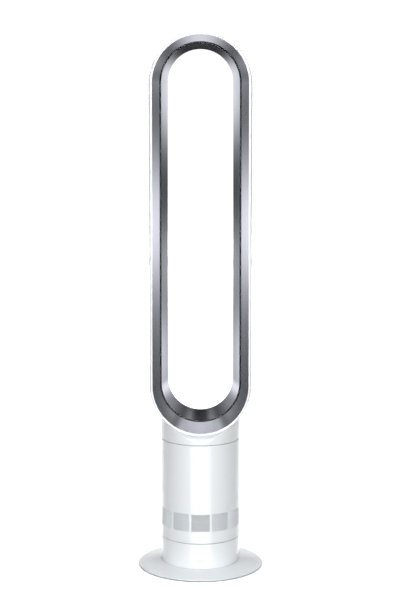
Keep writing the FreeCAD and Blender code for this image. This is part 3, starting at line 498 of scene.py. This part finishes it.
def drilledPads(size, count):
    # a pad in each window, drilled with hexagonal holes in offset rows: cell corners lie on a lattice of
    # half pitches, each hole has one corner for each of its cell's six, and the holes run straight in
    nC, nR = size["across"], size["rows"]
    k, m = np.meshgrid(np.arange(2 * nC + 1), np.arange(nR + 1), indexing="ij")
    step = size["halfWidth"] / nC
    rise = (size["high"] - size["low"]) / nR
    u, z = (k * step - size["halfWidth"]).ravel(), (size["low"] + m * rise).ravel()
    row = np.arange(nR)
    c, r = np.meshgrid(np.arange(nC), row, indexing="ij")
    c, r = c.ravel(), r.ravel()
    odd = r % 2
    keep = ~((odd == 1) & (c == nC - 1))
    c, r, odd = c[keep], r[keep], odd[keep]
    left = 2 * c + odd
    ring = np.stack([left * (nR + 1) + r, (left + 1) * (nR + 1) + r, (left + 2) * (nR + 1) + r,
                     (left + 2) * (nR + 1) + r + 1, (left + 1) * (nR + 1) + r + 1,
                     left * (nR + 1) + r + 1], -1)
    turn = np.radians([-150, -90, -30, 30, 90, 150])[None]
    centreU = ((left + 1) * step - size["halfWidth"])[:, None]
    centreZ = (size["low"] + (r + 0.5) * rise)[:, None]
    holeU = (centreU + size["hole"] * np.cos(turn)).ravel()
    holeZ = (centreZ + size["hole"] * np.sin(turn)).ravel()
    flatU, flatZ = np.concatenate([u, holeU]), np.concatenate([z, holeZ])
    n = len(flatU)
    hole = len(u) + np.arange(len(left) * 6).reshape(-1, 6)
    ringNext, holeNext = np.roll(ring, -1, 1), np.roll(hole, -1, 1)
    front = np.stack([ring, ringNext, holeNext, hole], -1).reshape(-1, 4)
    oddRows = row[row % 2 == 1]
    ends = [np.stack([a * (nR + 1) + oddRows, (a + 1) * (nR + 1) + oddRows,
                      (a + 1) * (nR + 1) + oddRows + 1, a * (nR + 1) + oddRows + 1], -1)
            for a in (0, 2 * nC - 1)]
    front = np.concatenate([front] + ends)
    walls = np.stack([hole, holeNext, holeNext + n, hole + n], -1).reshape(-1, 4)
    kk = np.arange(2 * nC)
    rim = [np.stack([kk * (nR + 1) + a, (kk + 1) * (nR + 1) + a, (kk + 1) * (nR + 1) + a + n,
                     kk * (nR + 1) + a + n], -1) for a in (0, nR)]
    rim += [np.stack([a * (nR + 1) + row, a * (nR + 1) + row + 1, a * (nR + 1) + row + 1 + n,
                      a * (nR + 1) + row + n], -1) for a in (0, 2 * nC)]
    faces = np.concatenate([front, front[:, ::-1] + n, walls] + rim)
    points = np.concatenate([np.stack([flatU, -np.sqrt(radius ** 2 - flatU ** 2), flatZ], -1)
                             for radius in (size["outer"], size["inner"])])
    turn = np.arange(count) * 2 * np.pi / count
    cos, sin = np.cos(turn)[:, None], np.sin(turn)[:, None]
    x, y, zAll = points[None, :, 0], points[None, :, 1], points[None, :, 2]
    allPoints = np.stack([x * cos - y * sin, x * sin + y * cos, zAll + 0 * cos], -1).reshape(-1, 3)
    allFaces = (faces[None] + (np.arange(count) * len(points))[:, None, None]).reshape(-1, 4)
    return allPoints, allFaces


inletScreens = newPiece("inletScreenPads", *drilledPads(screen, shell["windows"]))
place(inletScreens, "inlet_screens", "turning_body", screenGrey)
print("turning body made")


# loop: casing and the two silver bands, all carried round the same path
loopLow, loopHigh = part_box("loop_shell")
loop = {"half": loopHigh.x, "front": loopLow.y, "back": loopHigh.y, "lowCentre": loopLow.z + loopHigh.x,
        "highCentre": loopHigh.z - loopHigh.x, "noseWide": 3.5 * mm, "noseDeep": 19 * mm,
        "backWide": 22 * mm, "backDeep": 36 * mm, "throat": 61.6 * mm, "throatDepth": 36 * mm,
        "wall": 2.2 * mm, "uvRadius": 80 * mm}


def aroundLoop(name, outline, sharpFrom=sharpEdge, arcSteps=72, sideSteps=12):
    # a section point (a, y) goes to (a cos t, y, centre + a sin t): t stays at 0 or 180 degrees while the
    # centre moves along a straight side, and turns through 180 degrees about the centre of a round end
    low, high = loop["lowCentre"], loop["highCentre"]
    side = np.linspace(0, 1, sideSteps, endpoint=False)
    turn = np.linspace(0, np.pi, arcSteps, endpoint=False)
    t = np.concatenate([0 * side, turn, 0 * side + np.pi, turn + np.pi, [2 * np.pi]])
    centre = np.concatenate([low + (high - low) * side, high + 0 * turn, high + (low - high) * side,
                             low + 0 * turn, [low]])
    strides = np.abs(np.diff(t)) * loop["uvRadius"] + np.abs(np.diff(centre))
    reach = np.concatenate([[0], np.cumsum(strides)])
    a, y = outline[:, 0][None], outline[:, 1][None]
    tt, cc = t[:-1, None], centre[:-1, None]
    points = np.stack([a * np.cos(tt), y + 0 * tt, cc + a * np.sin(tt)], -1).reshape(-1, 3)
    rows, columns = len(t) - 1, len(outline)
    faces = gridFaces(rows, columns, True, True)
    edges = np.linalg.norm(np.diff(outline, axis=0, append=outline[:1]), axis=1)
    around = np.concatenate([[0], np.cumsum(edges)])
    i, j = (g.ravel() for g in np.meshgrid(np.arange(rows), np.arange(columns), indexing="ij"))
    u = np.stack([reach[i], reach[i + 1], reach[i + 1], reach[i]], -1)
    v = np.stack([around[j], around[j], around[j + 1], around[j + 1]], -1)
    return newPiece(name, points, faces, np.stack([u, v], -1).reshape(-1, 2), sharpFrom)


def quarterArc(centre, wide, deep, first, steps):
    # centre + (wide cos t, deep sin t) over a quarter turn from the angle given in degrees
    t = np.radians(np.linspace(first, first + 90, steps + 1))
    return np.stack([centre[0] + wide * np.cos(t), centre[1] + deep * np.sin(t)], -1)


def casingOutline(size):
    # outer skin from the front lip over the nose, flank and rounded back to the throat, then the same
    # less the wall
    def skin(inset):
        nose = (size["half"] - size["noseWide"], size["front"] + size["noseDeep"])
        back = (size["half"] - size["backWide"], size["back"] - size["backDeep"])
        roll = (back[0], size["throatDepth"])
        flank = np.linspace(nose[1], back[1], 10)[1:-1]
        return np.concatenate([
            quarterArc(nose, size["noseWide"] - inset, size["noseDeep"] - inset, 270, 12),
            np.stack([np.full(8, size["half"] - inset), flank], -1),
            quarterArc(back, size["backWide"] - inset, size["backDeep"] - inset, 0, 14),
            quarterArc(roll, roll[0] - size["throat"] - inset,
                       size["back"] - size["throatDepth"] - inset, 90, 10)])
    lip = (size["half"] - size["noseWide"], size["front"] + size["wall"])
    lipArc = quarterArc(lip, size["wall"], size["wall"], 180, 6)[:-1]
    return np.concatenate([skin(0), skin(size["wall"])[::-1], lipArc])


loopShell = aroundLoop("loopCasing", casingOutline(loop))
place(loopShell, "loop_shell", "turning_body", casingWhite)

# sections of the bands, in millimetres: distance from the loop's path, and depth
frontBand = {"outer": (89.0, -52.5), "slot": (75.2, -13.0), "behindSlot": (76.8, -13.0),
             "behindOuter": (90.6, -52.5), "sharpFrom": 15,
             "roll": [(75.4, -9.85), (76.1, -7.4), (76.7, -6.3), (77.4, -6.0), (78.2, -6.4), (78.6, -7.2),
                      (78.2, -8.1), (77.4, -8.4), (77.0, -10.0)]}
innerBand = {"throat": (61.6, 35.7), "lip": (72.8, -11.5), "behindLip": (73.3, -8.6),
             "behindThroat": (62.7, 35.7)}


def bandFace(first, last, steps=10):
    # a straight run between two points of the section: first + (last - first) t
    t = np.linspace(0, 1, steps + 1)[:, None]
    first, last = np.array(first) * mm, np.array(last) * mm
    return first + (last - first) * t


frontOutline = np.concatenate([
    bandFace(frontBand["outer"], frontBand["slot"]), np.array(frontBand["roll"]) * mm,
    bandFace(frontBand["behindSlot"], frontBand["behindOuter"])])
loopFrontBand = aroundLoop("frontSilverBand", frontOutline, frontBand["sharpFrom"])
place(loopFrontBand, "loop_front_band", "turning_body", silver)

innerOutline = np.concatenate([
    bandFace(innerBand["throat"], innerBand["lip"]),
    bandFace(innerBand["behindLip"], innerBand["behindThroat"])])
loopInnerBand = aroundLoop("innerSilverBand", innerOutline)
place(loopInnerBand, "loop_inner_band", "turning_body", silver)
print("loop made")


# neck: a cylinder whose roof fits the underside of the loop
neckLow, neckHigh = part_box("neck_shell")
neck = {"radius": neckHigh.x, "low": neckLow.z, "wall": 2.5 * mm, "edge": 0.6 * mm, "shoulder": 104.5 * mm,
        "frontDepth": 54 * mm, "backDepth": 46 * mm, "gap": 0.15 * mm}


def troughRadius(y, size):
    # distance from the lower centre line to the neck's roof at depth y: the loop's own skin between the two
    # shoulders, and beyond each a quarter ellipse that opens out to the shoulder's reach
    def skin(depth):
        noseY, backY = loop["front"] + loop["noseDeep"], loop["back"] - loop["backDeep"]
        nose = np.sqrt(np.clip(1 - (np.minimum(depth - noseY, 0) / loop["noseDeep"]) ** 2, 0, 1))
        back = np.sqrt(np.clip(1 - (np.maximum(depth - backY, 0) / loop["backDeep"]) ** 2, 0, 1))
        return loop["half"] - loop["noseWide"] * (1 - nose) - loop["backWide"] * (1 - back)
    front, back = -size["frontDepth"], size["backDepth"]
    inner = skin(np.clip(y, front, back))
    past = np.where(y < front, (front - y) / (size["radius"] + front),
                    np.where(y > back, (y - back) / (size["radius"] - back), 0.0))
    past = np.clip(past, 0, 1)
    return inner + (size["shoulder"] - inner) * (1 - np.sqrt(1 - past ** 2)) + size["gap"]


def neckSurface(size, steps=256, rows=20, rings=64):
    # outer wall from the seam up to the roof line, the roof as a disc of (x, y) with
    # z = centre - sqrt(trough^2 - x^2), then the same pair again one wall further in
    t = np.linspace(0, 2 * np.pi, steps, endpoint=False)[:, None]

    def skin(radius, sink, edge):
        x, y = radius * np.sin(t), -radius * np.cos(t)
        top = loop["lowCentre"] - np.sqrt(troughRadius(y, size) ** 2 - x ** 2) - sink
        rise = np.linspace(0, 1, rows)[None]
        low = size["low"] + edge
        wall = np.stack([x + 0 * rise, y + 0 * rise, low + (top - low) * rise], -1)
        foot = 1 - edge / radius
        start = np.stack([x * foot, y * foot, np.full_like(x, size["low"])], -1)
        share = 1 - np.linspace(0, 1, rings)[None, 1:] ** 1.6
        rx, ry = x * share, y * share
        roofZ = loop["lowCentre"] - np.sqrt(troughRadius(ry, size) ** 2 - rx ** 2) - sink
        return np.concatenate([start, wall, np.stack([rx, ry, roofZ], -1)], 1)
    outer = skin(size["radius"], 0.0, size["edge"])
    inner = skin(size["radius"] - size["wall"], size["wall"], 0.0)
    points = np.concatenate([outer, inner[:, ::-1]], 1)
    return points.reshape(-1, 3), gridFaces(steps, points.shape[1], True, True)


neckShell = newPiece("neckWall", *neckSurface(neck), sharpFrom=40)
place(neckShell, "neck_shell", "turning_body", glossWhite)
print("neck made")


# studio: floor, white surround, softboxes and the world's fill
def newGlow(name, tint=(1.0, 1.0, 1.0), strength=1.0):
    # a material that only gives light
    material = bpy.data.materials.new(name)
    material.use_nodes = True
    tree = material.node_tree
    tree.nodes.clear()
    output = node(tree, "ShaderNodeOutputMaterial", (300, 0))
    glow = node(tree, "ShaderNodeEmission", (0, 0), Color=(*tint, 1), Strength=strength)
    tree.links.new(glow.outputs["Emission"], output.inputs["Surface"])
    return material, tree, glow


def emitter(name, strength):
    return newGlow(name, strength=strength)[0]


oneQuad = np.array([[0, 1, 2, 3]])


def card(name, spot, material):
    # a flat card: centre plus or minus half of each edge
    centre, across, up = (np.array(spot[key], float) for key in ("centre", "across", "up"))
    signs = ((-1, -1), (1, -1), (1, 1), (-1, 1))
    corners = np.array([centre + i * across / 2 + j * up / 2 for i, j in signs])
    piece = newPiece(name, corners, oneQuad)
    piece.data.materials.append(material)
    piece.visible_camera = False
    return piece


def glowingFloor(look):
    # a pale floor that glows evenly but falls to a painted shadow under the disc: the glow is a smooth step
    # of the distance from the upright axis, so the contact shadow round the disc is painted, not cast
    material, tree, shader = newMaterial("paleFloor")
    shader.inputs["Base Color"].default_value = (0.9, 0.9, 0.9, 1)
    shader.inputs["Roughness"].default_value = 0.8
    shader.inputs["Emission Color"].default_value = (1, 1, 1, 1)
    coordinates = node(tree, "ShaderNodeTexCoord", (-700, -300))
    distance = node(tree, "ShaderNodeVectorMath", (-500, -300), operation="LENGTH")
    glow = node(tree, "ShaderNodeMapRange", (-300, -300), interpolation_type="SMOOTHSTEP")
    glow.inputs["From Min"].default_value, glow.inputs["From Max"].default_value = look["paintedShadowEdge"]
    glow.inputs["To Min"].default_value, glow.inputs["To Max"].default_value = look["glow"]
    tree.links.new(coordinates.outputs["Object"], distance.inputs[0])
    tree.links.new(distance.outputs["Value"], glow.inputs["Value"])
    tree.links.new(glow.outputs["Result"], shader.inputs["Emission Strength"])
    return material


# painted contact shadow: the floor's glow falls to its low value inside these distances from the axis, round
# the disc
ground = {"half": 30.0, "paintedShadowEdge": (0.1165, 0.1215), "glow": (0.05, 1.0)}
floor = newPiece("floor", ground["half"] * np.array([(-1, -1, 0), (1, -1, 0), (1, 1, 0), (-1, 1, 0)]),
                 oneQuad)
floor.data.materials.append(glowingFloor(ground))
floor.visible_diffuse = False


def surround(radius, steps=48, rows=16):
    # an upright half globe: radius times (cos e cos t, cos e sin t, sin e), from just under the floor up
    t = np.linspace(0, 2 * np.pi, steps, endpoint=False)[:, None]
    e = np.linspace(-0.05, np.pi / 2, rows)[None]
    points = radius * np.stack([np.cos(e) * np.cos(t), np.cos(e) * np.sin(t), np.sin(e) + 0 * t], -1)
    return points.reshape(-1, 3), gridFaces(steps, rows, True, False)


studio = {
    "surroundRadius": 25.0, "surroundGlow": 1.05, "fill": 0.05, "fillTint": (0.80, 0.88, 0.92),
    "front": {"centre": (0, -4.5, 1.5), "across": (4.9, 0, 0), "up": (0, 0, 3.6), "glow": 5.4},
    "top": {"centre": (0, -0.1, 3.2), "across": (1.5, 0, 0), "up": (0, 1.5, 0), "glow": 8.2},
    "back": {"centre": (0, 4.5, 1.6), "across": (3.2, 0, 0), "up": (0, 0, 2.6), "glow": 7.0},
    "loop": {"centre": (0, 0.6, 0.76), "across": (1.5, 0, 0), "up": (0, 0, 1.24)},
    "glint": {"near": (0.045, -0.12), "far": (0.865, -1.6), "height": 0.003, "glow": 5.5}}

globe = newPiece("whiteSurround", *surround(studio["surroundRadius"]))
globe.data.materials.append(emitter("whiteSurround", studio["surroundGlow"]))
globe.visible_diffuse = globe.visible_transmission = globe.visible_shadow = False

world = bpy.data.worlds.new("fill")
bpy.context.scene.world = world
world.use_nodes = True
background = world.node_tree.nodes["Background"]
background.inputs["Color"].default_value = (*studio["fillTint"], 1)
background.inputs["Strength"].default_value = studio["fill"]

card("frontSoftbox", studio["front"], emitter("frontGlow", studio["front"]["glow"]))
card("topSoftbox", studio["top"], emitter("topGlow", studio["top"]["glow"]))

# a wedge of brighter floor in front, mirrored in the upright walls as one narrow band
glint = studio["glint"]
(nearX, nearY), (farX, farY), glintZ = glint["near"], glint["far"], glint["height"]
floorGlint = newPiece("floorGlint", np.array([(-nearX, nearY, glintZ), (-farX, farY, glintZ),
                                              (farX, farY, glintZ), (nearX, nearY, glintZ)]), oneQuad)
floorGlint.data.materials.append(emitter("glintGlow", glint["glow"]))
floorGlint.visible_camera = floorGlint.visible_diffuse = floorGlint.visible_shadow = False

# light from behind for the back of the object, unseen in reflections
backSoftbox = card("backSoftbox", studio["back"], emitter("backGlow", studio["back"]["glow"]))
backSoftbox.visible_glossy = False


def loopCard(look):
    # glow behind the loop, seen only in its bands: a base level plus soft oval panels, mirrored left and
    # right, each one strength * exp(-distance^2) with the distance measured in the panel's half sizes
    material, tree, glow = newGlow("loopGlow", look["tint"])
    coordinates = node(tree, "ShaderNodeTexCoord", (-1500, 0))
    parts = node(tree, "ShaderNodeSeparateXYZ", (-1300, 0))
    tree.links.new(coordinates.outputs["Object"], parts.inputs["Vector"])

    maths = mathsIn(tree)

    across, up = maths("ABSOLUTE", parts.outputs["X"]), parts.outputs["Z"]
    total = look["base"]
    for x, z, wide, high, amount in look["panels"].values():
        dx = maths("MULTIPLY", maths("SUBTRACT", across, x), 1 / wide)
        dz = maths("MULTIPLY", maths("SUBTRACT", up, z), 1 / high)
        far = maths("ADD", maths("MULTIPLY", dx, dx), maths("MULTIPLY", dz, dz))
        total = maths("MULTIPLY_ADD", maths("EXPONENT", maths("MULTIPLY", far, -1.0)), amount, total)
    tree.links.new(total, glow.inputs["Strength"])
    return material


# soft panels on a dark backdrop: how far to each side, height, half width, half height, strength
loopPanels = {"base": 0.01, "tint": (0.97, 0.97, 1.0), "panels": {
    "sides": (0.46, 0.56, 0.05, 0.16, 1.4),        # the front band's bright middle
    "crown": (0.0, 0.49, 0.22, 0.09, 1.2),         # the front band over the top
    "heel": (0.0, 1.05, 0.38, 0.14, 1.05),         # the front band round the bottom
    "heelSides": (0.38, 0.96, 0.10, 0.08, 0.5),    # the front band's lower corners
    "upper": (0.20, 0.86, 0.07, 0.10, 1.2),        # the inner band's upper ends
    "lower": (0.30, 0.27, 0.07, 0.12, 1.3),        # the inner band's lower ends
    "fill": (0.45, 0.55, 0.22, 0.50, 0.2)}}        # a low even glow up both sides
loopGlow = card("loopGlowCard", studio["loop"], loopCard(loopPanels))
loopGlow.visible_diffuse = loopGlow.visible_transmission = loopGlow.visible_shadow = False
print("studio made")
